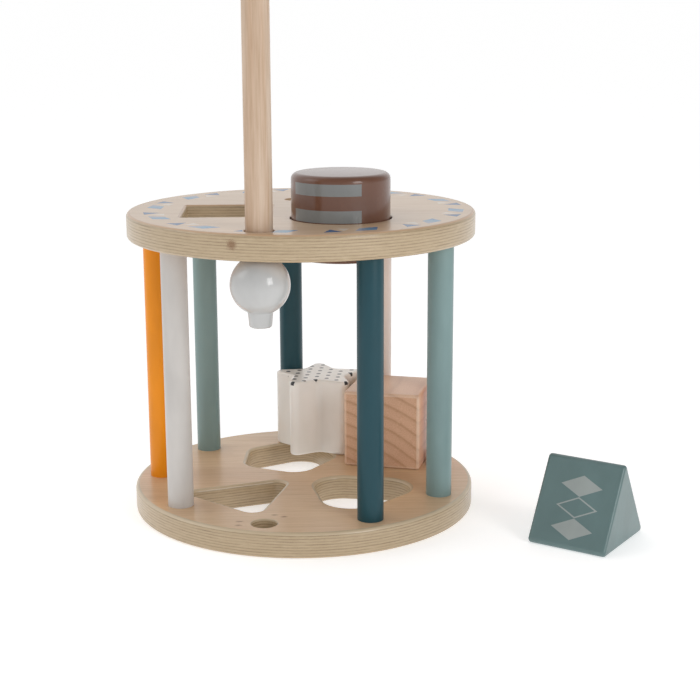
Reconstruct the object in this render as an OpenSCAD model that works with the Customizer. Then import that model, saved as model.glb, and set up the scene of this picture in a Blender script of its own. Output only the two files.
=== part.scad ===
// Wooden shape sorter: two plywood discs joined by eight painted dowels, a sliding gate
// rod with a stop ball, and four loose blocks. Millimetres, +Z up, with the origin at the
// centre of the bottom disc's underside. -Y is the front, where the gate is.

/* [Discs] */
// Diameter of both plywood discs
disc_d = 165; // [160:1:180]
// Thickness of both discs, a standard plywood
disc_t = 12; // [10:1:15]
// Clear height between the discs
cage_h = 121; // [115:1:130]
// Rounding of the discs' outer rims
rim_round = 1.5; // [0.5:0.1:3]

/* [Dowels] */
// Diameter of the dowel stock
dowel_d = 12; // [10:0.5:12]
// Radius of the circle that the dowels and the gate rod stand on
dowel_circle_r = 70.5; // [69:0.5:72]
// Angle of the first dowel from +X
dowel_turn = 15; // [12:1:18]
// Depth of the blind sockets in both discs
socket_depth = 8; // [6:0.5:9]
// Radial glue gap round a dowel in its socket
socket_gap = 0.05; // [0.02:0.01:0.1]

/* [Gate] */
// Length of the gate rod, from its seat in the ball to its top
rod_len = 144; // [130:1:160]
// Diameter of the guide hole in the top disc
guide_hole_d = 13.3; // [13:0.1:14]
// Diameter of the stop ball
ball_d = 26.5; // [25:0.5:28]
// Height of the ball's centre with the gate raised
ball_z = 121.3; // [119:0.1:121.3]
// Depth of the rod's socket, below the ball's centre
rod_seat = 5; // [3:0.5:6]
// Diameter of the peg where it leaves the ball
peg_root_d = 11.2; // [10:0.1:11.4]
// Diameter of the peg at its tip
peg_tip_d = 10.2; // [9:0.1:10.4]
// Length of the peg below the ball's surface
peg_len = 6.8; // [5:0.1:7]
// Diameter of the peg's hole in the bottom disc
peg_hole_d = 12; // [11.5:0.1:12]
// Depth of the peg's hole
peg_hole_depth = 9; // [8:0.5:10]

/* [Holes in the top disc] */
// Side of the square hole
square_hole = 41; // [40:0.5:42]
// Centre of the square hole
square_hole_at = [-34.8, -5]; // [-36:0.5:-33]
// Diameter of the round hole
round_hole_d = 46.6; // [46:0.1:47]
// Centre of the round hole
round_hole_at = [18, -29.5]; // [-31:0.5:19]
// Tip radius of the star hole, from its centre
star_hole_r = 26; // [25.5:0.5:27]
// Centre of the star hole
star_hole_at = [17.5, 31]; // [17:0.5:32]
// Direction of one tip of the star hole
star_hole_turn = 170; // [165:1:175]

/* [Cutouts in the bottom disc] */
// Radius of the three-cornered cutout's corners
triangle_cut_round = 4.9; // [4.5:0.1:6]
// Radius of the bulging cutout's corners
bulge_cut_round = 14; // [13:0.1:14.5]
// Radius of the five-sided cutout's corners
pentagon_cut_round = 10; // [9:0.1:10.5]

/* [Blocks] */
// Height of the round block
round_block_h = 39; // [36:0.2:41]
// Length of the triangle block
triangle_len = 38; // [36:0.5:40]
// Height of the star
star_h = 39; // [37:0.5:40]
// Diameter of the round block
round_block_d = 45.3; // [44:0.1:45.5]
// Rounding of the round block's top and bottom edges
round_block_round = 3; // [2:0.5:5]
// Side of the cube
cube_side = 38.5; // [37:0.1:38.7]
// Tip radius of the star, from its centre
star_r = 23.3; // [22:0.1:23.5]
// Side of the triangle block's end, measured to sharp corners
triangle_side = 45.5; // [42:0.5:46]
// Rounding of the triangle block's long edges
triangle_round = 2; // [1:0.5:3]

/* [Places of the loose blocks] */
// Height of the round block's underside, in the round hole
round_block_z = 126.7; // [126:0.1:133]
// Centre of the cube on the bottom disc
cube_at = [44, 30]; // [29:0.1:44]
// Turn of the cube
cube_turn = -16; // [-17:1:-15]
// Centre of the star on the bottom disc
star_at = [8.4, 53.2]; // [8:0.1:53.5]
// Direction of one tip of the star block
star_turn = 89; // [87:1:90]
// Centre of the triangle block on the table
triangle_at = [129, -59.3]; // [-65:0.1:140]
// Turn of the triangle block's length from +X
triangle_turn = -35; // [-40:1:-20]

/* [Hidden] */
$fn = 96;
cut = 1;
top_z = disc_t + cage_h;
gate_place = 6;
dowel_len = cage_h + 2 * socket_depth;
star_tip_round = 3.6;
star_waist = 0.58;
star_hole_round = 4.4;
corner_steps = 10;
// Centres of the cutouts' rounded corners, counter-clockwise seen from above
triangle_cut_corners = [[-49, -24], [-24, -47], [-14, -11.5]];
bulge_cut_corners = [[19, -15.5], [22.5, -34.5], [37, -19]];
pentagon_cut_corners = [[-2, 50.5], [-18.5, 41], [-19.5, 25], [-5, 18], [5, 33.5]];

// The nine places on the dowel circle are 40 degrees apart.
function place_angle(place) = dowel_turn + 40 * place;

// A point at distance r and angle a from a centre.
function around(centre, r, a) = [centre[0] + r * cos(a), centre[1] + r * sin(a)];

module at_place(place) {
    rotate([0, 0, place_angle(place)]) translate([dowel_circle_r, 0, 0]) children();
}

// Points along an arc from angle a to angle b, both ends included.
function arc(centre, r, a, b, steps) =
    [for (i = [0 : steps]) around(centre, r, a + (b - a) * i / steps)];

// A regular polygon with n corners of radius corner_r. Its corner arcs are centred at
// distance reach from the middle, and the first points along turn.
module round_polygon(n, reach, corner_r, turn) {
    polygon([
        for (k = [0 : n - 1]) let (a = turn + 360 * k / n)
            each arc(around([0, 0], reach, a), corner_r, a - 180 / n, a + 180 / n, corner_steps)
    ]);
}

// The direction that the side from corner a to corner b faces.
function side_faces(a, b) = atan2(b[1] - a[1], b[0] - a[0]) - 90;

// The angle from a forwards to b, from 0 to 360.
function turn_to(a, b) = b - a - 360 * floor((b - a) / 360);

// A polygon with straight sides and corners of radius corner_r, round the centres given
// counter-clockwise.
module corner_polygon(centres, corner_r) {
    n = len(centres);
    polygon([
        for (k = [0 : n - 1]) let (
            start = side_faces(centres[(k + n - 1) % n], centres[k]),
            end = side_faces(centres[k], centres[(k + 1) % n])
        ) each arc(centres[k], corner_r, start, start + turn_to(start, end), corner_steps)
    ]);
}

// The direction, from the middle of a star's tip arc, in which its side meets the arc.
// The side runs to a waist point halfway round to the next tip.
function tip_side(tip_reach, waist_r, tip_round) =
    let (to_waist = [waist_r * cos(36) - tip_reach, waist_r * sin(36)])
    atan2(to_waist[1], to_waist[0]) - acos(tip_round / norm(to_waist));

// A five-pointed star with round tips of radius tip_round, whose outermost points are at
// distance reach. The waists between the tips are at star_waist of that.
module round_star(reach, tip_round, turn) {
    tip_reach = reach - tip_round;
    waist_r = reach * star_waist;
    side = tip_side(tip_reach, waist_r, tip_round);
    polygon([
        for (k = [0 : 4]) let (a = turn + 72 * k) each concat(
            arc(around([0, 0], tip_reach, a), tip_round, a - side, a + side, corner_steps),
            [around([0, 0], waist_r, a + 36)]
        )
    ]);
}

// A plywood disc with its two outer rims rounded.
module disc_blank() {
    inner_r = disc_d / 2 - rim_round;
    rotate_extrude() union() {
        square([inner_r, disc_t]);
        translate([0, rim_round]) square([disc_d / 2, disc_t - 2 * rim_round]);
        for (y = [rim_round, disc_t - rim_round]) translate([inner_r, y]) circle(rim_round);
    }
}

// Blind sockets for the eight fixed dowels, starting at height z.
module dowel_sockets(z) {
    for (place = [0 : 8]) if (place != gate_place)
        at_place(place) translate([0, 0, z]) cylinder(d = dowel_d + 2 * socket_gap, h = socket_depth + cut);
}

module bottom_disc() {
    color("burlywood") difference() {
        disc_blank();
        dowel_sockets(disc_t - socket_depth);
        at_place(gate_place) translate([0, 0, disc_t - peg_hole_depth])
            cylinder(d = peg_hole_d, h = peg_hole_depth + cut);
        translate([0, 0, -cut]) linear_extrude(disc_t + 2 * cut) {
            corner_polygon(triangle_cut_corners, triangle_cut_round);
            corner_polygon(bulge_cut_corners, bulge_cut_round);
            corner_polygon(pentagon_cut_corners, pentagon_cut_round);
        }
    }
}

module top_disc() {
    color("burlywood") translate([0, 0, top_z]) difference() {
        disc_blank();
        dowel_sockets(-cut);
        at_place(gate_place) translate([0, 0, -cut]) cylinder(d = guide_hole_d, h = disc_t + 2 * cut);
        translate([square_hole_at[0], square_hole_at[1], disc_t / 2])
            cube([square_hole, square_hole, disc_t + 2 * cut], center = true);
        translate([round_hole_at[0], round_hole_at[1], -cut])
            cylinder(d = round_hole_d, h = disc_t + 2 * cut);
        translate([star_hole_at[0], star_hole_at[1], -cut])
            linear_extrude(disc_t + 2 * cut) round_star(star_hole_r, star_hole_round, star_hole_turn);
    }
}

// A fixed dowel, glued into a socket in each disc.
module dowel(place) {
    at_place(place) translate([0, 0, disc_t - socket_depth]) cylinder(d = dowel_d, h = dowel_len);
}

module dowel_orange_right() { color("darkorange") dowel(0); }
module dowel_blush_back() { color("mistyrose") dowel(1); }
module dowel_teal_back() { color("darkslategray") dowel(2); }
module dowel_sage_back() { color("darkseagreen") dowel(3); }
module dowel_orange_left() { color("darkorange") dowel(4); }
module dowel_white_front() { color("whitesmoke") dowel(5); }
module dowel_teal_front() { color("darkslategray") dowel(7); }
module dowel_sage_right() { color("darkseagreen") dowel(8); }

// The natural rod slides in the guide hole and is glued into the ball.
module gate_rod() {
    color("wheat") at_place(gate_place) translate([0, 0, ball_z - rod_seat])
        cylinder(d = dowel_d, h = rod_len);
}

// The turned stop ball, with the tapered peg that enters the bottom disc.
module gate_knob() {
    peg_top = -sqrt(pow(ball_d / 2, 2) - pow(peg_root_d / 2, 2));
    color("white") at_place(gate_place) translate([0, 0, ball_z]) difference() {
        union() {
            sphere(d = ball_d);
            translate([0, 0, peg_top - peg_len])
                cylinder(d1 = peg_tip_d, d2 = peg_root_d, h = peg_len + cut);
        }
        translate([0, 0, -rod_seat]) cylinder(d = dowel_d, h = ball_d);
    }
}

module round_block() {
    core_r = round_block_d / 2 - round_block_round;
    color("saddlebrown") translate([round_hole_at[0], round_hole_at[1], round_block_z])
        rotate_extrude() union() {
            square([core_r, round_block_h]);
            translate([0, round_block_round])
                square([round_block_d / 2, round_block_h - 2 * round_block_round]);
            for (y = [round_block_round, round_block_h - round_block_round])
                translate([core_r, y]) circle(round_block_round);
        }
}

module star_block() {
    color("ivory") translate([star_at[0], star_at[1], disc_t])
        linear_extrude(star_h) round_star(star_r, star_tip_round, star_turn);
}

module cube_block() {
    color("tan") translate([cube_at[0], cube_at[1], disc_t + cube_side / 2])
        rotate([0, 0, cube_turn]) cube(cube_side, center = true);
}

// The triangle block lies on one of its long faces.
module triangle_block() {
    inset = triangle_round / cos(60);
    corner_reach = triangle_side / sqrt(3) - inset;
    rest_z = triangle_side / sqrt(3) / 2;
    color("cadetblue") translate([triangle_at[0], triangle_at[1], rest_z])
        rotate([0, 0, triangle_turn]) rotate([90, 0, 90])
            translate([0, 0, -triangle_len / 2]) linear_extrude(triangle_len)
                round_polygon(3, corner_reach, triangle_round, 90);
}

bottom_disc();
top_disc();
dowel_orange_right();
dowel_blush_back();
dowel_teal_back();
dowel_sage_back();
dowel_orange_left();
dowel_white_front();
dowel_teal_front();
dowel_sage_right();
gate_rod();
gate_knob();
round_block();
star_block();
cube_block();
triangle_block();
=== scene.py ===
"""Looks for the wooden shape sorter: plywood discs, painted dowels, the gate rod and the loose blocks."""

import math

import bmesh
import bpy
from mathutils import Matrix, Vector, geometry


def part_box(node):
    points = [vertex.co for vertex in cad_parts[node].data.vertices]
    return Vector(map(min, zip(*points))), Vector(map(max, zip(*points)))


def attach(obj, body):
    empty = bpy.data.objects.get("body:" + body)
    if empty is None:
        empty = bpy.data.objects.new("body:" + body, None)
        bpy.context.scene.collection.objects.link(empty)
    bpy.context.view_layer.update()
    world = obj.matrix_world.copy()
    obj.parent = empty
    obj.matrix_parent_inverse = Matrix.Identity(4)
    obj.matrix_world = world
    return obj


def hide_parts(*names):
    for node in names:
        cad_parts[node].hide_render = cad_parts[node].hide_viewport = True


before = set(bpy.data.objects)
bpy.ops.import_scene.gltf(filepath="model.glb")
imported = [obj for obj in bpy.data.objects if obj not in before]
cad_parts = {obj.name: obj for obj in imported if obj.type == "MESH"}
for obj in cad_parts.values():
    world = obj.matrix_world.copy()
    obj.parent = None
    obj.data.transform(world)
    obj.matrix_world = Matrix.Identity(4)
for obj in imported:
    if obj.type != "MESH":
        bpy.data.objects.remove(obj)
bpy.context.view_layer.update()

MM = 0.001

# ---------------------------------------------------------------- sizes in millimetres, angles in degrees
# the discs, and the rounding of the rims of their holes
DISC_R = 82.5
RIM_ROUND = 1.8
HOLE_RIM = 0.5
SQUARE_RIM = 1.4
CUT_RIM = 1.6
PEG_HOLE_RIM = 0.4
GUIDE_HOLE_D = 13.3
PEG_HOLE_D = 12
SQUARE_HOLE = 41
SQUARE_HOLE_ROUND = 1
SQUARE_HOLE_AT = (-34.8, -5)
ROUND_HOLE_D = 46.6
STAR_HOLE_R = 26
STAR_HOLE_AT = (17.5, 31)
STAR_HOLE_TURN = 170
STAR_HOLE_ROUND = 4.4
# the bottom disc's cutouts: the centres of their round corners, and the corners' radius
TRIANGLE_CUT = ((-49, -24), (-24, -47), (-14, -11.5))
TRIANGLE_CUT_ROUND = 4.9
BULGE_CUT = ((19, -15.5), (22.5, -34.5), (37, -19))
BULGE_CUT_ROUND = 14
PENTAGON_CUT = ((-2, 50.5), (-18.5, 41), (-19.5, 25), (-5, 18), (5, 33.5))
PENTAGON_CUT_ROUND = 10
# the plies at the discs' edges, the height at which each disc's uppermost ply starts, and the knots
PLY_PITCH = 1.34
LOW_SKIN_FROM = 10.9
HIGH_SKIN_FROM = 11.45
EDGE_KNOT = (-29.9, -76.9, 140.3)
EDGE_KNOT_R = 6
FACE_KNOTS = ((-29.5, -65.2, 12), (-29.8, -70.2, 12), (-14.0, -57.1, 12), (-9.5, -59.7, 12))
FACE_KNOT_R = 2.4
# the dowels, the gate rod, and the knob with its peg
DOWEL_D = 12
DOWEL_END_ROUND = 0.6
ROD_LOW_ROUND = 0.5
ROD_TOP_ROUND = 1.5
PEG_ROOT_R = 5.6
PEG_TIP_R = 5.1
PEG_TIP_ROUND = 1.2
PEG_SEAM_DROP = 0.15
KNOB_SOCKET_LIP = 0.5
KNOB_SOCKET_SINK = 3
# the round block, with its stripes' heights above its underside and their two ends round its side
ROUND_BLOCK_ROUND = 3
STRIPES_AT = (18.5, 24, 30.4, 35.7)
STRIPE_ENDS = (205, 292.5)
# the star block and its dots
STAR_R = 23.3
STAR_AT = (8.4, 53.2)
STAR_TURN = 89
STAR_TIP_ROUND = 3.6
STAR_WAIST = 0.58
STAR_RIM = 1.2
WAIST_ROUND = 5
DOT_D = 2.4
DOT_PITCH = 6.3
DOT_GRID_TURN = 22
DOT_AT = (8.9, 58.6)
DOT_DRIP = 1.7
# the cube, and the heart of the tree it was cut from, seen from the cube's centre line
CUBE_SIDE = 38.5
CUBE_TURN = -16
CUBE_BEVEL = 1.3
TREE_HEART = (91, 178)
RING_PITCH = 5.7
# the triangle block and its diamonds
TRIANGLE_SIDE = 45.5
TRIANGLE_LEN = 38
TRIANGLE_ROUND = 2
TRIANGLE_RIM = 1.5
TRIANGLE_AT = (129, -59.3)
TRIANGLE_TURN = -35
DIAMOND_W = 20.2
DIAMOND_H = 10
DIAMOND_LINE = 0.7
DIAMOND_GAP = 0.1
DIAMOND_AT = (0.9, -2.1)
# the printed ring: its centre, the step from mark to mark, where each kind starts, and each outline as
# (distance from the centre, angle) pairs
RING_AT = (1.5, 0)
MARK_STEP = 30
TRIANGLE_MARK = 9.1
RHOMBUS_MARK = 22
TRIANGLE_OUTLINE = ((76, -3.2), (76, 3.2), (68, 0))
PALE_OUTLINE = ((73.5, 4), (67.5, 7.5), (66.5, 2.7))
RHOMBUS_OUTLINE = ((75.3, -5.5), (75.6, 2.2), (68.3, 5.7), (68.3, -1.8))
MARK_CLEARANCE = 0.1
# how finely round shapes are divided, and the angle from which an edge is shaded as a crease
DISC_STEPS = 240
HOLE_STEPS = 48
DOWEL_STEPS = 72
BALL_STEPS = 96
BALL_ARC_STEPS = 40
ROUND_BLOCK_STEPS = 144
CREASE = 30

# ---------------------------------------------------------------- colours, as display values of 0 to 255
ORANGE = (236, 144, 18)
BLUSH = (236, 226, 219)
TEAL = (30, 71, 81)
SAGE = (128, 153, 153)
WHITE = (205, 201, 197)
BALL_WHITE = (187, 187, 186)
BROWN = (108, 72, 55)
STRIPE_GREY = (126, 129, 129)
CREAM = ((240, 237, 231), (248, 246, 242))
DOT_INK = (38, 40, 46)
BLOCK_TEAL = (99, 124, 124)
DIAMOND_GREY = (157, 165, 163)
PRINT_BLUE = (16, 82, 136)
PRINT_PALE = (222, 208, 192)
RHOMBUS_TONES = ((0.38, (136, 142, 164)), (0.52, (84, 142, 176)), (0.65, (36, 112, 164)))
BIRCH_LOW = ((214, 179, 140), (225, 194, 156))
BIRCH_HIGH = ((206, 173, 138), (217, 188, 154))
PLY_LIGHT = ((171, 148, 116), (192, 171, 139))
PLY_SEAM = ((116, 95, 68), (154, 131, 98))
LOW_SKIN = (214, 196, 166)
HIGH_SKIN = (206, 160, 120)
FACE_KNOT_BROWN = (128, 84, 44)
EDGE_KNOT_BROWN = (122, 84, 48)
ROD_WOOD = ((190, 165, 140), (211, 190, 170))
BEECH_RINGS = (
    (0.0, (226, 184, 152)), (0.5, (220, 177, 145)), (0.72, (200, 154, 120)), (0.86, (223, 181, 149)),
)
# painted sheen: the cube's top, bottom and sides and its rounded edges go this share of the way to a paler
# colour, which stands in for light catching them
BEECH_PAINTED_SHEEN = (250, 226, 204)
BEECH_PAINTED_SHEEN_SHARE = 0.4

# ---------------------------------------------------------------- light
WORLD_ZENITH = 0.35
WORLD_HORIZON = 0.72
WORLD_BACK = 1.0
ZENITH_FROM = 0.6
BACKDROP_FROM = 0.5
BACKDROP_TURN = 28
SIDE_FALL = 0.3
FLOOR_GLOW = 0.47
FLOOR_HALF = 400
# the soft boxes: azimuth and elevation, then distance, width and height in metres, and power in watts
KEY = (38, 21, 1.2, 0.4, 0.5, 3.8)
FILL = (-82, 36, 1.2, 0.6, 0.6, 1.3)
LIGHT_AIM = (0, 0, 0.07)

# ---------------------------------------------------------------- camera
LENS = 76.84
CAMERA_AT = (0, -706.5, 241.5)
CAMERA_PAN = -1.854
CAMERA_TILT = 13.195
CAMERA_ROLL = 0.233


def make_camera():
    data = bpy.data.cameras.new("camera")
    data.lens = LENS
    data.sensor_width = 36
    data.clip_start = 0.01
    camera = bpy.data.objects.new("camera", data)
    turn = (
        Matrix.Rotation(math.radians(CAMERA_PAN), 4, "Z")
        @ Matrix.Rotation(math.radians(-CAMERA_TILT), 4, "X")
        @ Matrix.Rotation(math.radians(CAMERA_ROLL), 4, "Y")
    )
    upright = Matrix.Rotation(math.radians(90), 4, "X")
    camera.matrix_world = Matrix.Translation(Vector(CAMERA_AT) * MM) @ turn @ upright
    bpy.context.scene.collection.objects.link(camera)
    bpy.context.scene.camera = camera


# ---------------------------------------------------------------- shader building blocks
def linear(red, green, blue):
    """A linear colour from display values of 0 to 255."""
    def channel(value):
        value /= 255
        return value / 12.92 if value <= 0.04045 else ((value + 0.055) / 1.055) ** 2.4
    return (channel(red), channel(green), channel(blue), 1)


def add(tree, kind, settings=None, **inputs):
    """Adds a node. Inputs are named with _ for a space, and take a value or another node's output."""
    node = tree.nodes.new("ShaderNode" + kind)
    for key, value in (settings or {}).items():
        setattr(node, key, value)
    for key, value in inputs.items():
        plug(tree, node.inputs[key.replace("_", " ")], value)
    return node


def plug(tree, socket, value):
    if isinstance(value, bpy.types.NodeSocket):
        tree.links.new(value, socket)
    else:
        socket.default_value = value


def calc(tree, operation, first, second=0.0, third=0.0):
    node = tree.nodes.new("ShaderNodeMath")
    node.operation = operation
    for socket, value in zip(node.inputs, (first, second, third)):
        plug(tree, socket, value)
    return node.outputs[0]


def blend_colour(tree, share, first, second, mode="MIX"):
    node = tree.nodes.new("ShaderNodeMix")
    node.data_type = "RGBA"
    node.blend_type = mode
    plug(tree, node.inputs[0], share)
    plug(tree, node.inputs[6], first)
    plug(tree, node.inputs[7], second)
    return node.outputs[2]


def ramp(tree, value, stops):
    node = tree.nodes.new("ShaderNodeValToRGB")
    plug(tree, node.inputs[0], value)
    points = node.color_ramp.elements
    while len(points) < len(stops):
        points.new(0.5)
    for point, (position, colour) in zip(points, stops):
        point.position = position
        point.color = colour if hasattr(colour, "__len__") else (colour, colour, colour, 1)
    return node.outputs[0]


def place(tree, scale=(1, 1, 1), turn=(0, 0, 0), move=(0, 0, 0)):
    """Object coordinates, scaled so that 1 is a millimetre where scale is 1."""
    coordinates = tree.nodes.new("ShaderNodeTexCoord")
    mapping = add(
        tree, "Mapping", Vector=coordinates.outputs["Object"], Location=move,
        Rotation=[math.radians(a) for a in turn], Scale=[s / MM for s in scale],
    )
    return mapping.outputs[0]


def noise(tree, vector, scale, detail=3, roughness=0.5, distortion=0.0):
    node = add(tree, "TexNoise", Vector=vector, Scale=scale, Detail=detail,
               Roughness=roughness, Distortion=distortion)
    return node.outputs["Fac"]


def new_material(name):
    material = bpy.data.materials.new(name)
    material.use_nodes = True
    tree = material.node_tree
    tree.nodes.clear()
    output = tree.nodes.new("ShaderNodeOutputMaterial")
    shader = tree.nodes.new("ShaderNodeBsdfPrincipled")
    tree.links.new(shader.outputs[0], output.inputs[0])
    return material, tree, shader


def finish_shader(tree, shader, colour, roughness, coat=0.0, coat_roughness=0.1, height=None,
                  depth=0.1, specular=0.5):
    """Sets the shader's sockets. depth is the bump's depth in millimetres."""
    plug(tree, shader.inputs["Base Color"], colour)
    plug(tree, shader.inputs["Roughness"], roughness)
    shader.inputs["Specular IOR Level"].default_value = specular
    shader.inputs["Coat Weight"].default_value = coat
    shader.inputs["Coat Roughness"].default_value = coat_roughness
    if height is not None:
        bump = add(tree, "Bump", Strength=1.0, Distance=depth * MM, Height=height)
        tree.links.new(bump.outputs[0], shader.inputs["Normal"])


# ---------------------------------------------------------------- materials
def make_veneer(name, low, high, coat, knots=()):
    """Lacquered birch: grain and fine pores along x, over broad figure from colour low to high. knots are
    places on the face."""
    material, tree, shader = new_material(name)
    grain = noise(tree, place(tree, (0.03, 1, 1)), 1.3, 6, 0.65)
    pores = noise(tree, place(tree, (0.12, 2.6, 1)), 1.0, 2, 0.5)
    figure = noise(tree, place(tree, (0.008, 0.045, 0.05)), 1.0, 4, 0.6, 0.8)
    base = ramp(tree, figure, [(0.3, low), (0.7, high)])
    shade = ramp(tree, grain, [(0.25, linear(205, 190, 175)), (0.6, linear(255, 255, 255))])
    colour = blend_colour(tree, 0.5, base, shade, "MULTIPLY")
    flecks = ramp(tree, pores, [(0.25, linear(190, 165, 140)), (0.4, linear(255, 255, 255))])
    colour = blend_colour(tree, 0.35, colour, flecks, "MULTIPLY")
    wander = calc(tree, "MULTIPLY", noise(tree, place(tree, (0.6, 0.9, 0.6)), 1.0, 3), 1.6)
    for x, y, z in knots:
        knot = add(tree, "VectorMath", {"operation": "DISTANCE"}, Vector=place(tree, (0.6, 1, 1)))
        knot.inputs[1].default_value = (0.6 * x, y, z)
        reach = calc(tree, "DIVIDE", calc(tree, "ADD", knot.outputs["Value"], wander), FACE_KNOT_R)
        spot = ramp(tree, reach, [(0.4, 0.8), (0.85, 0.0)])
        colour = blend_colour(tree, spot, colour, linear(*FACE_KNOT_BROWN))
    finish_shader(tree, shader, colour, 0.5, coat, coat_roughness=0.22, height=grain, depth=0.03)
    return material


def make_ply_edge(name, low, skin, skin_from, knot=None):
    """The plies seen at an edge, counted from the disc's underside at height low. skin is the colour of the
    uppermost one, which starts at height skin_from. knot is where a knot lies."""
    material, tree, shader = new_material(name)
    split = add(tree, "SeparateXYZ", Vector=place(tree))
    wobble = noise(tree, place(tree, (0.03, 0.03, 0.03)), 1.0, 2)
    height = calc(tree, "SUBTRACT", split.outputs[2], low)
    height = calc(tree, "ADD", height, calc(tree, "MULTIPLY", calc(tree, "SUBTRACT", wobble, 0.5), 0.5))
    turns = calc(tree, "MULTIPLY", calc(tree, "DIVIDE", height, PLY_PITCH), 2 * math.pi)
    seam = calc(tree, "POWER", calc(tree, "MULTIPLY_ADD", calc(tree, "COSINE", turns), 0.5, 0.5), 3.0)
    streaks = noise(tree, place(tree, (0.06, 0.06, 0.9)), 1.0, 4, 0.7)
    seam = calc(tree, "MULTIPLY", seam, ramp(tree, streaks, [(0.35, 0.15), (0.65, 1.0)]))
    fibres = noise(tree, place(tree, (0.25, 0.25, 3.5)), 1.0, 5, 0.7)
    specks = noise(tree, place(tree, (1.6, 1.6, 2.4)), 1.0, 3, 0.6)
    light = ramp(tree, fibres, [(0.3, linear(*PLY_LIGHT[0])), (0.65, linear(*PLY_LIGHT[1]))])
    dark = ramp(tree, specks, [(0.3, linear(*PLY_SEAM[0])), (0.65, linear(*PLY_SEAM[1]))])
    colour = blend_colour(tree, seam, light, dark)
    uppermost = calc(tree, "GREATER_THAN", height, skin_from)
    colour = blend_colour(tree, calc(tree, "MULTIPLY", uppermost, 0.6), colour, skin)
    if knot:
        offset = add(tree, "VectorMath", {"operation": "DISTANCE"}, Vector=place(tree))
        offset.inputs[1].default_value = knot
        reach = calc(tree, "ADD", offset.outputs["Value"], calc(tree, "MULTIPLY", specks, 3.0))
        spot = ramp(tree, calc(tree, "DIVIDE", reach, EDGE_KNOT_R), [(0.42, 0.8), (0.72, 0.0)])
        colour = blend_colour(tree, spot, colour, linear(*EDGE_KNOT_BROWN))
    finish_shader(tree, shader, colour, 0.5, coat=0.6, coat_roughness=0.2, height=fibres, depth=0.05)
    return material


def make_paint(name, colour, roughness=0.38, coat=0.1, coat_roughness=0.2, grain_along=(1, 1, 0.06),
               depth=0.05):
    """Paint over wood: a faint mottle in its colour, and the wood's grain under the film."""
    material, tree, shader = new_material(name)
    mottle = noise(tree, place(tree, (0.08, 0.08, 0.03)), 1.0, 3)
    dull = [c * 0.9 for c in colour[:3]] + [1]
    bright = [min(1, c * 1.05) for c in colour[:3]] + [1]
    mixed = ramp(tree, mottle, [(0.3, dull), (0.7, bright)])
    grain = noise(tree, place(tree, grain_along), 0.9, 5, 0.6)
    finish_shader(tree, shader, mixed, roughness, coat, coat_roughness, grain, depth, specular=0.25)
    return material


def make_dotted_paint(top):
    """Cream paint with dark dots in a hexagonal grid on the top face, just running over its edge."""
    material, tree, shader = new_material("cream_dotted_paint")
    first_dot = Matrix.Rotation(math.radians(-DOT_GRID_TURN), 3, "Z") @ Vector((*DOT_AT, 0))
    split = add(tree, "SeparateXYZ", Vector=place(tree, turn=(0, 0, -DOT_GRID_TURN), move=-first_dot))
    # along and across count steps of the grid's two directions, 60 degrees apart
    across = calc(tree, "DIVIDE", split.outputs[1], DOT_PITCH * math.sin(math.radians(60)))
    along = calc(tree, "SUBTRACT", calc(tree, "DIVIDE", split.outputs[0], DOT_PITCH),
                 calc(tree, "MULTIPLY", across, 0.5))
    off_a = calc(tree, "SUBTRACT", along, calc(tree, "ROUND", along))
    off_b = calc(tree, "SUBTRACT", across, calc(tree, "ROUND", across))
    square = calc(tree, "MULTIPLY_ADD", off_a, off_a, calc(tree, "MULTIPLY", off_b, off_b))
    square = calc(tree, "MULTIPLY_ADD", off_a, off_b, square)
    distance = calc(tree, "MULTIPLY", calc(tree, "SQRT", square), DOT_PITCH)
    dot = ramp(tree, calc(tree, "DIVIDE", distance, DOT_D), [(0.45, 1.0), (0.52, 0.0)])
    height = add(tree, "SeparateXYZ", Vector=place(tree)).outputs[2]
    near_top = calc(tree, "GREATER_THAN", height, top - DOT_DRIP)
    mottle = noise(tree, place(tree, (0.08, 0.08, 0.03)), 1.0, 3)
    cream = ramp(tree, mottle, [(0.3, linear(*CREAM[0])), (0.7, linear(*CREAM[1]))])
    colour = blend_colour(tree, calc(tree, "MULTIPLY", dot, near_top), cream, linear(*DOT_INK))
    grain = noise(tree, place(tree, (1, 1, 0.06)), 0.9, 5, 0.6)
    finish_shader(tree, shader, colour, 0.4, coat=0.4, coat_roughness=0.18, height=grain, depth=0.04)
    return material


def make_two_tone_print():
    """Print that turns from lavender to light blue across each rhombus of the ring."""
    material, tree, shader = new_material("print_two_tone")
    split = add(tree, "SeparateXYZ", Vector=place(tree, move=(-RING_AT[0], -RING_AT[1], 0)))
    angle = calc(tree, "DEGREES", calc(tree, "ARCTAN2", split.outputs[1], split.outputs[0]))
    turned = calc(tree, "ADD", angle, 360 - RHOMBUS_MARK + MARK_STEP / 2)
    share = calc(tree, "DIVIDE", calc(tree, "MODULO", turned, MARK_STEP), MARK_STEP)
    colour = ramp(tree, share, [(position, linear(*tone)) for position, tone in RHOMBUS_TONES])
    finish_shader(tree, shader, colour, 0.5, coat=0.62, coat_roughness=0.22)
    return material


def make_bare_wood(name, low, high):
    """Sanded bare wood with its grain along z, from colour low to high."""
    material, tree, shader = new_material(name)
    along_z = (1, 1, 0.04)
    grain = noise(tree, place(tree, along_z), 1.1, 6, 0.62)
    broad = noise(tree, place(tree, [s * 0.18 for s in along_z]), 1.0, 3, 0.5, 0.6)
    colour = ramp(tree, grain, [(0.28, low), (0.68, high)])
    warm = ramp(tree, broad, [(0.35, linear(238, 222, 206)), (0.65, linear(255, 255, 255))])
    colour = blend_colour(tree, 0.8, colour, warm, "MULTIPLY")
    finish_shader(tree, shader, colour, 0.5, coat=0.15, coat_roughness=0.25, height=grain, depth=0.05)
    return material


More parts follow.
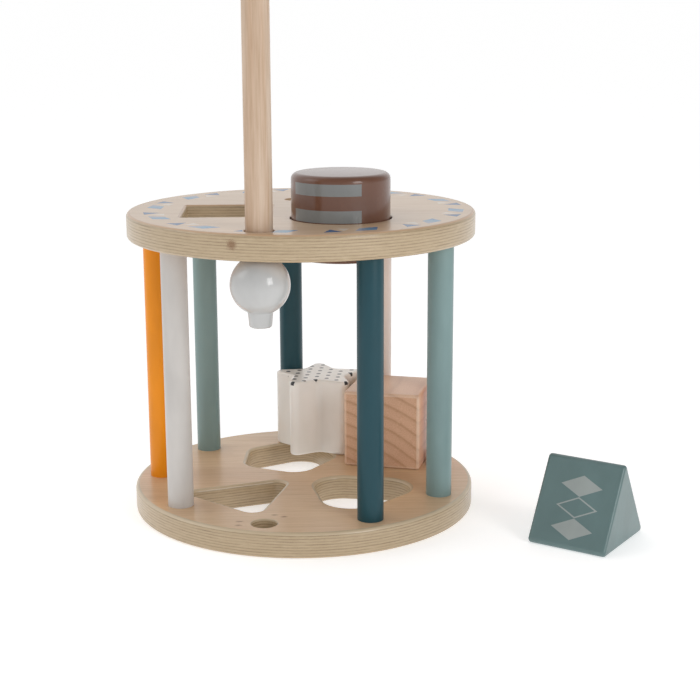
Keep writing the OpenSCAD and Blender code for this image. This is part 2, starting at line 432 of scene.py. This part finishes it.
def make_cube_wood(name, painted_sheen):
    """Beech: faint growth rings that fall to the right across the front, and fine dark flecks everywhere.
    painted_sheen is how far its colour goes to a paler one: a painted sheen and highlight on the faces that
    catch the light."""
    material, tree, shader = new_material(name)
    turn = math.radians(CUBE_TURN)
    centre = centre_of("cube_block")
    # the cube's own x and z, from the heart of the tree, which lies below and left of the cube
    split = add(tree, "SeparateXYZ", Vector=place(tree))
    x_part = calc(tree, "MULTIPLY", calc(tree, "SUBTRACT", split.outputs[0], centre[0]), math.cos(turn))
    y_part = calc(tree, "MULTIPLY", calc(tree, "SUBTRACT", split.outputs[1], centre[1]), math.sin(turn))
    x_part = calc(tree, "ADD", calc(tree, "ADD", x_part, y_part), TREE_HEART[0])
    z_part = calc(tree, "ADD", split.outputs[2], TREE_HEART[1])
    radius = calc(tree, "SQRT", calc(tree, "ADD", calc(tree, "MULTIPLY", x_part, x_part),
                                     calc(tree, "MULTIPLY", z_part, z_part)))
    waver = noise(tree, place(tree, (0.03, 0.02, 0.03)), 1.0, 3)
    radius = calc(tree, "ADD", radius, calc(tree, "MULTIPLY", waver, 5.0))
    rings = calc(tree, "FRACT", calc(tree, "DIVIDE", radius, RING_PITCH))
    colour = ramp(tree, rings, [(position, linear(*tone)) for position, tone in BEECH_RINGS])
    pores = noise(tree, place(tree, (2.2, 0.5, 2.2)), 1.0, 4, 0.7)
    fleck = ramp(tree, pores, [(0.3, linear(224, 206, 192)), (0.6, linear(255, 255, 255))])
    colour = blend_colour(tree, 0.8, colour, fleck, "MULTIPLY")
    # painted sheen: the colour goes this share of the way to a paler one
    colour = blend_colour(tree, painted_sheen, colour, linear(*BEECH_PAINTED_SHEEN))
    finish_shader(tree, shader, colour, 0.6, coat=0.5, coat_roughness=0.32, height=pores, depth=0.05)
    return material


# ---------------------------------------------------------------- outlines, in millimetres
def around(centre, reach, angle):
    turn = math.radians(angle)
    return (centre[0] + reach * math.cos(turn), centre[1] + reach * math.sin(turn))


def arc(centre, radius, start, end, steps):
    """Points along an arc, both ends included. Angles are in degrees."""
    return [around(centre, radius, start + (end - start) * i / steps) for i in range(steps + 1)]


def circle(centre, radius, steps=120):
    """An outline is a function that gives its points, counter-clockwise, when grown by some amount."""
    return lambda grow: arc(centre, radius + grow, 0, 360 - 360 / steps, steps - 1)


def round_polygon(centre, sides, reach, corner, turn, steps=12):
    def outline(grow):
        points = []
        for k in range(sides):
            angle = turn + 360 * k / sides
            half = 180 / sides
            points += arc(around(centre, reach, angle), corner + grow, angle - half, angle + half, steps)
        return points
    return outline


def corner_polygon(centres, corner, steps=12):
    """Straight sides and round corners, whose centres are given counter-clockwise."""
    def faces(start, end):
        return math.degrees(math.atan2(end[1] - start[1], end[0] - start[0])) - 90

    def outline(grow):
        points = []
        for before, here, after in zip(centres[-1:] + centres[:-1], centres, centres[1:] + centres[:1]):
            start = faces(before, here)
            end = start + (faces(here, after) - start) % 360
            points += arc(here, corner + grow, start, end, steps)
        return points
    return outline


def round_star(centre, reach, tip_round, waist_round, turn, steps=10):
    """A star with round tips and filleted waists."""
    tip_reach = reach - tip_round
    waist = around((0, 0), reach * STAR_WAIST, 36)
    to_waist = (waist[0] - tip_reach, waist[1])
    side = math.degrees(math.atan2(to_waist[1], to_waist[0]) - math.acos(tip_round / math.hypot(*to_waist)))
    fillet_reach = reach * STAR_WAIST + waist_round / math.cos(math.radians(side - 36))

    def outline(grow):
        points = []
        for k in range(5):
            angle = turn + 72 * k
            points += arc(around(centre, tip_reach, angle), tip_round + grow,
                          angle - side, angle + side, steps)
            points += arc(around(centre, fillet_reach, angle + 36), waist_round - grow,
                          angle + side + 180, angle + 72 - side + 180, steps)
        return points
    return outline


# ---------------------------------------------------------------- meshes
def mesh_object(name, bm, materials, body, slot_name, *nodes):
    """Makes the object, rides it on its body and lets it stand for its CAD nodes."""
    mesh = bpy.data.meshes.new(name)
    bm.to_mesh(mesh)
    bm.free()
    for material in materials:
        mesh.materials.append(material)
    obj = bpy.data.objects.new(name, mesh)
    bpy.context.scene.collection.objects.link(obj)
    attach(obj, body)
    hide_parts(*nodes)
    return obj


def ring_of(bm, points, height):
    return [bm.verts.new((x * MM, y * MM, height * MM)) for x, y in points]


def wall(bm, rings, outward, slot):
    """Joins rings of vertices from low to high. outward is False round a hole."""
    for low, high in zip(rings, rings[1:]):
        count = len(low)
        for i in range(count):
            j = (i + 1) % count
            corners = [low[i], low[j], high[j], high[i]]
            face = bm.faces.new(corners if outward else corners[::-1])
            face.smooth = True
            face.material_index = slot


def rim_rings(bm, outline, low, high, radius, outward, steps=5):
    """Rings up a wall whose top and bottom edges are rounded."""
    sign = -1 if outward else 1
    lower, upper = [], []
    for i in range(steps + 1):
        angle = math.radians(90 * i / steps)
        grow = sign * radius * (1 - math.sin(angle))
        rise = radius * (1 - math.cos(angle))
        lower.append((grow, low + rise))
        upper.append((grow, high - rise))
    return [ring_of(bm, outline(grow), z) for grow, z in lower + upper[::-1]]


def fill_flat(bm, outer, holes, marks, to_plane, slot, facing):
    """Fills a flat loop of vertices, round its holes. marks are (points, slot) printed shapes in the plane.
    to_plane turns a vertex into plane millimetres, and facing is the way that the surface looks."""
    verts = list(outer)
    loops = [list(range(len(outer)))]
    for hole in holes:
        loops.append(list(range(len(verts), len(verts) + len(hole))))
        verts += hole
    flat = [to_plane(v.co) for v in verts]
    origin, x_axis, y_axis = to_plane.origin, to_plane.x_axis * MM, to_plane.y_axis * MM
    for points, _ in marks:
        loops.append(list(range(len(flat), len(flat) + len(points))))
        flat += points
        verts += [bm.verts.new(origin + x_axis * x + y_axis * y) for x, y in points]
    result = geometry.delaunay_2d_cdt([Vector(p) for p in flat], [], loops, 0, 1e-5)
    spots, triangles, sources, owners = result[0], result[2], result[3], result[5]
    made = [
        verts[source[0]] if source else bm.verts.new(origin + x_axis * spot[0] + y_axis * spot[1])
        for spot, source in zip(spots, sources)
    ]
    hole_ids = set(range(1, 1 + len(holes)))
    first_mark = 1 + len(holes)
    for triangle, owner in zip(triangles, owners):
        if 0 not in owner or hole_ids & set(owner):
            continue
        corners = [made[i] for i in triangle]
        normal = (corners[1].co - corners[0].co).cross(corners[2].co - corners[0].co)
        face = bm.faces.new(corners if normal.dot(facing) > 0 else corners[::-1])
        marked = [i for i in owner if i >= first_mark]
        face.material_index = marks[marked[-1] - first_mark][1] if marked else slot


class Plane:
    """A plane in space, with its own millimetre axes."""

    def __init__(self, origin, x_axis, y_axis):
        self.origin = Vector(origin)
        self.x_axis = Vector(x_axis).normalized()
        self.y_axis = Vector(y_axis).normalized()

    def __call__(self, point):
        offset = (point - self.origin) / MM
        return (offset.dot(self.x_axis), offset.dot(self.y_axis))


def plate(outer, holes, low, high, rim, top_marks=(), wall_slot=1):
    """A flat plate with rounded rims. Its faces are slot 0. holes are (outline, rim rounding) pairs."""
    bm = bmesh.new()
    outer_rings = rim_rings(bm, outer, low, high, rim, True)
    wall(bm, outer_rings, True, wall_slot)
    hole_rings = [rim_rings(bm, hole, low, high, hole_rim, False) for hole, hole_rim in holes]
    for rings in hole_rings:
        wall(bm, rings, False, wall_slot)
    for height, end, marks, up in ((low, 0, (), -1), (high, -1, top_marks, 1)):
        level = Plane((0, 0, height * MM), (1, 0, 0), (0, 1, 0))
        fill_flat(bm, outer_rings[end], [rings[end] for rings in hole_rings], list(marks), level, 0,
                  Vector((0, 0, up)))
    return bm


def lathe(centre, profile, steps, slot_of=None):
    """Turns a profile of (radius, height) points, from low to high, round an upright axis. slot_of gives a
    face's material slot from its angle and height."""
    bm = bmesh.new()
    rings = []
    for radius, height in profile:
        if radius == 0:
            rings.append([bm.verts.new((centre[0] * MM, centre[1] * MM, height * MM))])
        else:
            rings.append(ring_of(bm, arc(centre, radius, 0, 360 - 360 / steps, steps - 1), height))
    for level, (low, high) in enumerate(zip(rings, rings[1:])):
        middle = (profile[level][1] + profile[level + 1][1]) / 2
        for i in range(steps):
            j = (i + 1) % steps
            if len(low) == 1:
                corners = [low[0], high[j], high[i]]
            elif len(high) == 1:
                corners = [low[i], low[j], high[0]]
            else:
                corners = [low[i], low[j], high[j], high[i]]
            face = bm.faces.new(corners)
            face.smooth = True
            if slot_of:
                face.material_index = slot_of((i + 0.5) * 360 / steps, middle)
    bm.normal_update()
    for edge in bm.edges:
        if len(edge.link_faces) == 2 and edge.calc_face_angle() > math.radians(CREASE):
            edge.smooth = False
    return bm


def round_end(radius, height, rounding, up=True, steps=5):
    """Profile points of a rounded edge, from the side towards the axis when up, or else the other way."""
    points = []
    for i in range(steps + 1):
        angle = math.radians(90 * i / steps)
        inset = rounding * (1 - math.cos(angle))
        drop = rounding * (1 - math.sin(angle))
        points.append((radius - inset, height - drop if up else height + drop))
    return points if up else points[::-1]


def centre_of(node):
    low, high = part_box(node)
    return ((low.x + high.x) / 2 / MM, (low.y + high.y) / 2 / MM)


def heights_of(node):
    low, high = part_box(node)
    return low.z / MM, high.z / MM


# ---------------------------------------------------------------- the printed ring
def ring_marks():
    """Triangles, pale triangles and rhombi that take turns round the top disc, as outlines in plan."""
    blue, two_tone, pale = 2, 3, 4  # the top disc's material slots
    shapes = [
        (blue, TRIANGLE_MARK, TRIANGLE_OUTLINE),
        (pale, TRIANGLE_MARK, PALE_OUTLINE),
        (two_tone, RHOMBUS_MARK, RHOMBUS_OUTLINE),
    ]
    return [
        ([around(RING_AT, reach, first + MARK_STEP * k + angle) for reach, angle in shape], slot)
        for k in range(360 // MARK_STEP) for slot, first, shape in shapes
    ]


def keep_clear(points, centre, radius, steps=40):
    """The outline cut back to stay out of a circle, or nothing where little of it is left."""
    fine = [
        (x1 + (x2 - x1) * i / steps, y1 + (y2 - y1) * i / steps)
        for (x1, y1), (x2, y2) in zip(points, points[1:] + points[:1]) for i in range(steps)
    ]
    free = [math.dist(spot, centre) >= radius for spot in fine]
    if all(free):
        return points
    if sum(free) < steps:
        return []
    start = next(i for i in range(len(fine)) if free[i] and not free[i - 1])
    kept = [fine[(start + i) % len(fine)] for i in range(sum(free))]
    first, last = (math.degrees(math.atan2(y - centre[1], x - centre[0])) for x, y in (kept[0], kept[-1]))
    turn = (first - last + 180) % 360 - 180
    return kept[::4] + arc(centre, radius, last, last + turn, 6)[1:-1]


# ---------------------------------------------------------------- pieces
def make_discs():
    peg_at = centre_of("gate_rod")
    low, high = heights_of("bottom_disc")
    cuts = [
        corner_polygon(TRIANGLE_CUT, TRIANGLE_CUT_ROUND),
        corner_polygon(BULGE_CUT, BULGE_CUT_ROUND, 24),
        corner_polygon(PENTAGON_CUT, PENTAGON_CUT_ROUND),
    ]
    holes = [(cut, CUT_RIM) for cut in cuts] + [(circle(peg_at, PEG_HOLE_D / 2, HOLE_STEPS), PEG_HOLE_RIM)]
    bm = plate(circle((0, 0), DISC_R, DISC_STEPS), holes, low, high, RIM_ROUND)
    face = make_veneer("birch_low", linear(*BIRCH_LOW[0]), linear(*BIRCH_LOW[1]), 0.5, FACE_KNOTS)
    materials = [face, make_ply_edge("ply_edge_low", low, linear(*LOW_SKIN), LOW_SKIN_FROM)]
    mesh_object("bottom_disc_wood", bm, materials, "cage", "plywood", "bottom_disc")

    low, high = heights_of("top_disc")
    square_reach = (SQUARE_HOLE / 2 - SQUARE_HOLE_ROUND) * math.sqrt(2)
    square_hole = round_polygon(SQUARE_HOLE_AT, 4, square_reach, SQUARE_HOLE_ROUND, 45, 4)
    star_hole = round_star(STAR_HOLE_AT, STAR_HOLE_R, STAR_HOLE_ROUND, WAIST_ROUND, STAR_HOLE_TURN)
    holes = [
        (square_hole, SQUARE_RIM),
        (circle(centre_of("round_block"), ROUND_HOLE_D / 2), HOLE_RIM),
        (star_hole, HOLE_RIM),
        (circle(peg_at, GUIDE_HOLE_D / 2, HOLE_STEPS), HOLE_RIM),
    ]
    clear = GUIDE_HOLE_D / 2 + HOLE_RIM + MARK_CLEARANCE
    marks = [(keep_clear(points, peg_at, clear), slot) for points, slot in ring_marks()]
    marks = [(points, slot) for points, slot in marks if points]
    bm = plate(circle((0, 0), DISC_R, DISC_STEPS), holes, low, high, RIM_ROUND, marks)
    blue = make_paint("print_blue", linear(*PRINT_BLUE), roughness=0.5, coat=0.62, coat_roughness=0.22)
    white = make_paint("print_white", linear(*PRINT_PALE), roughness=0.5, coat=0.62, coat_roughness=0.22)
    edge = make_ply_edge("ply_edge_high", low, linear(*HIGH_SKIN), HIGH_SKIN_FROM, EDGE_KNOT)
    face = make_veneer("birch_high", linear(*BIRCH_HIGH[0]), linear(*BIRCH_HIGH[1]), 0.62)
    materials = [face, edge, blue, make_two_tone_print(), white]
    mesh_object("top_disc_wood", bm, materials, "cage", "plywood", "top_disc")


def make_dowels():
    colours = {
        "orange": ("orange_paint", ORANGE),
        "blush": ("blush_paint", BLUSH),
        "teal": ("teal_paint", TEAL),
        "sage": ("sage_paint", SAGE),
        "white": ("white_paint", WHITE),
    }
    paints = {key: make_paint(slot, linear(*colour)) for key, (slot, colour) in colours.items()}
    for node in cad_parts:
        if not node.startswith("dowel_"):
            continue
        key = node.split("_")[1]
        low, high = heights_of(node)
        profile = [(0, low)] + round_end(DOWEL_D / 2, low, DOWEL_END_ROUND, False, 3)
        profile += round_end(DOWEL_D / 2, high, DOWEL_END_ROUND, True, 3) + [(0, high)]
        bm = lathe(centre_of(node), profile, DOWEL_STEPS)
        mesh_object(node + "_painted", bm, [paints[key]], "cage", colours[key][0], node)


def make_gate():
    low, high = heights_of("gate_rod")
    centre = centre_of("gate_rod")
    wood = make_bare_wood("rod_wood", linear(*ROD_WOOD[0]), linear(*ROD_WOOD[1]))
    profile = [(0, low)] + round_end(DOWEL_D / 2, low, ROD_LOW_ROUND, False, 3)
    profile += round_end(DOWEL_D / 2, high, ROD_TOP_ROUND) + [(0, high)]
    bm = lathe(centre, profile, DOWEL_STEPS)
    mesh_object("gate_rod_wood", bm, [wood], "gate", "natural_dowel", "gate_rod")

    low, high = heights_of("gate_knob")
    ball_low, ball_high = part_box("gate_knob")
    ball_r = (ball_high.x - ball_low.x) / 2 / MM
    # the rod's socket starts where the ball is as wide as the rod, and the peg where it is as wide as the peg
    rod_r = DOWEL_D / 2
    to_socket = math.sqrt(ball_r ** 2 - rod_r ** 2)
    to_peg = -math.sqrt(ball_r ** 2 - PEG_ROOT_R ** 2)
    ball_z = high - to_socket
    profile = [(0, low)] + round_end(PEG_TIP_R, low, PEG_TIP_ROUND, False)
    profile.append((PEG_ROOT_R, ball_z + to_peg - PEG_SEAM_DROP))
    start = math.degrees(math.atan2(to_peg, PEG_ROOT_R))
    end = math.degrees(math.atan2(to_socket, rod_r))
    profile += arc((0, ball_z), ball_r, start, end, BALL_ARC_STEPS)
    profile.append((rod_r - KNOB_SOCKET_LIP, profile[-1][1] - KNOB_SOCKET_LIP))
    profile.append((rod_r - KNOB_SOCKET_LIP, profile[-1][1] - KNOB_SOCKET_SINK))
    profile.append((0, profile[-1][1]))
    paint = make_paint("ball_paint", linear(*BALL_WHITE), roughness=0.3, coat=0.8, coat_roughness=0.08,
                       grain_along=(0.5, 0.5, 0.5), depth=0.02)
    bm = lathe(centre, profile, BALL_STEPS)
    mesh_object("gate_knob_painted", bm, [paint], "gate", "ball_paint", "gate_knob")


def make_round_block():
    low, high = heights_of("round_block")
    box_low, box_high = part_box("round_block")
    radius = (box_high.x - box_low.x) / 2 / MM
    bands = [low + rise for rise in STRIPES_AT]
    profile = [(0, low)] + round_end(radius, low, ROUND_BLOCK_ROUND, False, 8)
    profile += [(radius, z) for z in bands]
    profile += round_end(radius, high, ROUND_BLOCK_ROUND, True, 8) + [(0, high)]

    def slot_of(angle, height):
        striped = bands[0] < height < bands[1] or bands[2] < height < bands[3]
        return 1 if striped and STRIPE_ENDS[0] < angle < STRIPE_ENDS[1] else 0

    gloss = dict(roughness=0.35, coat=0.6, coat_roughness=0.13, grain_along=(1.1, 1.1, 0.5), depth=0.08)
    brown = make_paint("brown_gloss", linear(*BROWN), **gloss)
    grey = make_paint("stripe_print", linear(*STRIPE_GREY), **gloss)
    bm = lathe(centre_of("round_block"), profile, ROUND_BLOCK_STEPS, slot_of)
    mesh_object("round_block_painted", bm, [brown, grey], "round_piece", "brown_paint", "round_block")


def make_star_block():
    low, high = heights_of("star_block")
    star = round_star(STAR_AT, STAR_R, STAR_TIP_ROUND, WAIST_ROUND, STAR_TURN, 12)
    bm = plate(star, [], low, high, STAR_RIM, wall_slot=0)
    cream = make_dotted_paint(high)
    mesh_object("star_block_painted", bm, [cream], "star_piece", "cream_paint", "star_block")


def make_cube_block():
    low, high = heights_of("cube_block")
    bm = bmesh.new()
    bmesh.ops.create_cube(bm, size=CUBE_SIDE * MM)
    bevel = bmesh.ops.bevel(bm, geom=bm.edges[:], offset=CUBE_BEVEL * MM, segments=4, profile=0.5,
                            affect="EDGES")
    # the end-grain faces keep the wood's colour; the other faces get a painted sheen and the rounded edges a
    # painted highlight, as paler copies of the same wood
    for face in bm.faces:
        end_grain = abs(face.normal.y) > 0.9
        face.material_index = 0 if end_grain else 2
    for face in bevel["faces"]:
        face.smooth = True
        face.material_index = 1
    centre = centre_of("cube_block")
    place_in = Matrix.Translation(Vector((centre[0], centre[1], (low + high) / 2)) * MM)
    bm.transform(place_in @ Matrix.Rotation(math.radians(CUBE_TURN), 4, "Z"))
    # slots 1 and 2 are paler copies of the wood: painted highlight on the rounded edges, painted sheen on the
    # top, bottom and sides
    woods = [
        make_cube_wood("cube_end_wood", 0.0),
        make_cube_wood("cube_edge_wood_painted_highlight", BEECH_PAINTED_SHEEN_SHARE),
        make_cube_wood("cube_side_wood_painted_sheen", BEECH_PAINTED_SHEEN_SHARE),
    ]
    mesh_object("cube_block_wood", bm, woods, "cube_piece", "natural_block", "cube_block")


def make_triangle_block():
    inset = TRIANGLE_ROUND / math.cos(math.radians(60))
    reach = TRIANGLE_SIDE / math.sqrt(3) - inset
    rest_z = TRIANGLE_SIDE / math.sqrt(3) / 2
    outline = round_polygon((0, 0), 3, reach, TRIANGLE_ROUND, 90, 8)
    bm = plate(outline, [], -TRIANGLE_LEN / 2, TRIANGLE_LEN / 2, TRIANGLE_RIM, wall_slot=0)
    lie = (
        Matrix.Translation(Vector((TRIANGLE_AT[0], TRIANGLE_AT[1], rest_z)) * MM)
        @ Matrix.Rotation(math.radians(TRIANGLE_TURN), 4, "Z")
        @ Matrix.Rotation(math.radians(90), 4, "X")
        @ Matrix.Rotation(math.radians(90), 4, "Y")
    )
    bm.transform(lie)
    bm.normal_update()
    turn = math.radians(TRIANGLE_TURN)
    along = Vector((math.cos(turn), math.sin(turn), 0))
    # the sloping face in front is filled again with its diamonds
    slopes = [
        face for face in bm.faces
        if abs(face.normal.dot(along)) < 0.1 and 0.2 < face.normal.z < 0.9 and face.normal.y < 0
    ]
    front = max(slopes, key=lambda face: face.calc_area())
    normal = front.normal.copy()
    up = normal.cross(along)
    if up.z < 0:
        up = -up
    level = Plane(front.calc_center_median(), along, up)
    corners = list(front.verts)
    bm.faces.remove(front)
    fill_flat(bm, corners, [], diamond_marks(), level, 0, normal)
    teal = make_paint("block_teal_paint", linear(*BLOCK_TEAL), roughness=0.35, coat=0.6,
                      grain_along=(0.5, 0.5, 0.5))
    light = make_paint("diamond_print", linear(*DIAMOND_GREY), roughness=0.45, coat=0.6, coat_roughness=0.15)
    mesh_object("triangle_block_painted", bm, [teal, light], "triangle_piece", "block_teal_paint",
                "triangle_block")


def diamond_marks():
    """A column of three diamonds that touch at their corners, the middle one in outline only."""
    def diamond(middle, shrink=0.0):
        x = DIAMOND_W / 2 - shrink * DIAMOND_W / DIAMOND_H
        y = DIAMOND_H / 2 - shrink
        side, up = DIAMOND_AT[0], DIAMOND_AT[1] + middle
        return [(side, up - y), (side + x, up), (side, up + y), (side - x, up)]
    step = DIAMOND_H + DIAMOND_GAP
    return [(diamond(step), 1), (diamond(-step), 1), (diamond(0), 1), (diamond(0, DIAMOND_LINE), 0)]


# ---------------------------------------------------------------- stage and light
def make_floor():
    material, tree, shader = new_material("pale_floor")
    finish_shader(tree, shader, (0.9, 0.9, 0.9, 1), 0.9, specular=0.0)
    shader.inputs["Emission Color"].default_value = (1, 1, 1, 1)
    shader.inputs["Emission Strength"].default_value = FLOOR_GLOW
    bm = bmesh.new()
    bmesh.ops.create_grid(bm, x_segments=1, y_segments=1, size=FLOOR_HALF)
    mesh = bpy.data.meshes.new("floor")
    bm.to_mesh(mesh)
    bm.free()
    mesh.materials.append(material)
    floor = bpy.data.objects.new("floor", mesh)
    bpy.context.scene.collection.objects.link(floor)


def area_light(name, azimuth, elevation, distance, width, height, power):
    """A soft box. Azimuth 0 is behind the camera, and 90 is to its right."""
    data = bpy.data.lights.new(name, "AREA")
    data.shape = "RECTANGLE"
    data.size = width
    data.size_y = height
    data.energy = power
    light = bpy.data.objects.new(name, data)
    turn, rise = math.radians(azimuth), math.radians(elevation)
    way = Vector((math.sin(turn) * math.cos(rise), -math.cos(turn) * math.cos(rise), math.sin(rise)))
    light.location = Vector(LIGHT_AIM) + way * distance
    light.rotation_euler = (-way).to_track_quat("-Z", "Y").to_euler()
    bpy.context.scene.collection.objects.link(light)


def map_range(tree, value, low, high, low_value, high_value):
    """Turns value from low to high into low_value to high_value, smoothly."""
    node = add(tree, "MapRange", {"interpolation_type": "SMOOTHSTEP"}, Value=value)
    for socket, number in zip(node.inputs[1:5], (low, high, low_value, high_value)):
        plug(tree, socket, number)
    return node.outputs[0]


def make_light():
    """A white backdrop behind, a dimmer room in front that is lightest low and to the left, and two soft
    boxes, one on each side."""
    world = bpy.data.worlds.new("world")
    bpy.context.scene.world = world
    world.use_nodes = True
    tree = world.node_tree
    way = add(tree, "SeparateXYZ", Vector=tree.nodes.new("ShaderNodeTexCoord").outputs["Generated"])
    front = map_range(tree, way.outputs[2], 0, ZENITH_FROM, WORLD_HORIZON, WORLD_ZENITH)
    front = calc(tree, "MULTIPLY", front, calc(tree, "MULTIPLY_ADD", way.outputs[0], -SIDE_FALL, 1))
    turn = math.radians(BACKDROP_TURN)
    backward = calc(tree, "MULTIPLY_ADD", way.outputs[1], math.cos(turn),
                    calc(tree, "MULTIPLY", way.outputs[0], -math.sin(turn)))
    strength = map_range(tree, backward, 0, BACKDROP_FROM, front, WORLD_BACK)
    background = tree.nodes["Background"]
    background.inputs["Color"].default_value = (1, 1, 1, 1)
    tree.links.new(strength, background.inputs["Strength"])
    area_light("key", *KEY)
    area_light("fill", *FILL)
    bpy.context.scene.view_settings.view_transform = "Standard"


make_camera()
make_discs()
make_dowels()
make_gate()
make_round_block()
make_star_block()
make_cube_block()
make_triangle_block()
make_floor()
make_light()
